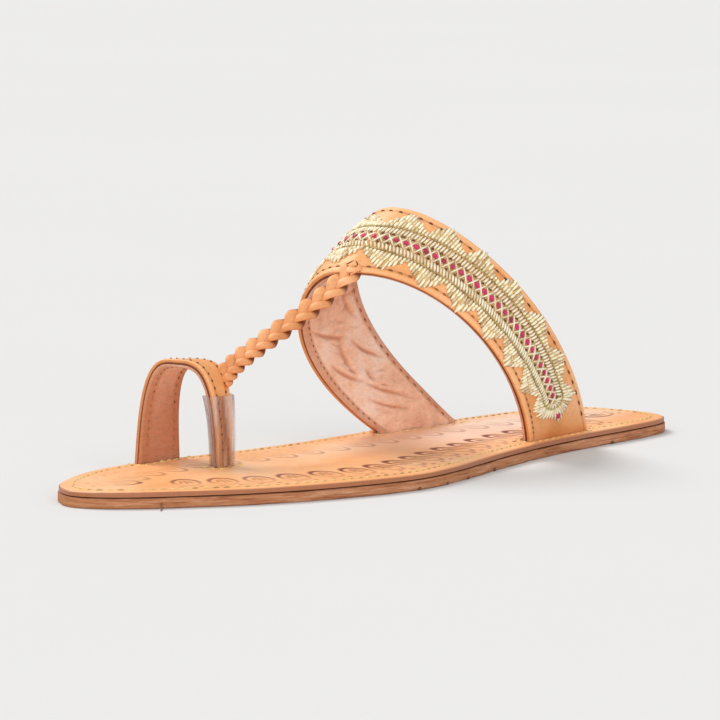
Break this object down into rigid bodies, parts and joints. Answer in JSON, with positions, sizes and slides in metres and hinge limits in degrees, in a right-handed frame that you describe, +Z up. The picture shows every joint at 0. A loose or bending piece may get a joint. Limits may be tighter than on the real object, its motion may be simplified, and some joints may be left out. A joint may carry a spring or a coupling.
{
  "type": "kolhapuri sandal",
  "caption": "Flat leather kolhapuri sandal for the left foot: layered sole, wide embroidered instep band, big-toe loop and a plaited thong between them.",
  "frame": {"origin": "middle of the sole's bounding box, on the floor that the outsole stands on", "axes": "+X from the heel to the toe, +Y to the lateral (outer) side of a left foot, +Z up"},
  "size_m": [0.2504, 0.083, 0.0791],
  "materials": {
    "sole_leather": "thick buffalo leather with a burnished side",
    "insole_leather": "smooth tan leather with a soft sheen and a stamped border",
    "upper_leather": "tan orange leather, embroidered on its outer face",
    "clear_plastic": "clear flexible sleeve"
  },
  "bodies": {
    "root": {"outsole": "sole_leather", "insole": "insole_leather", "upper": "upper_leather", "toe_post_sleeve": "clear_plastic"}
  },
  "joints": []
}
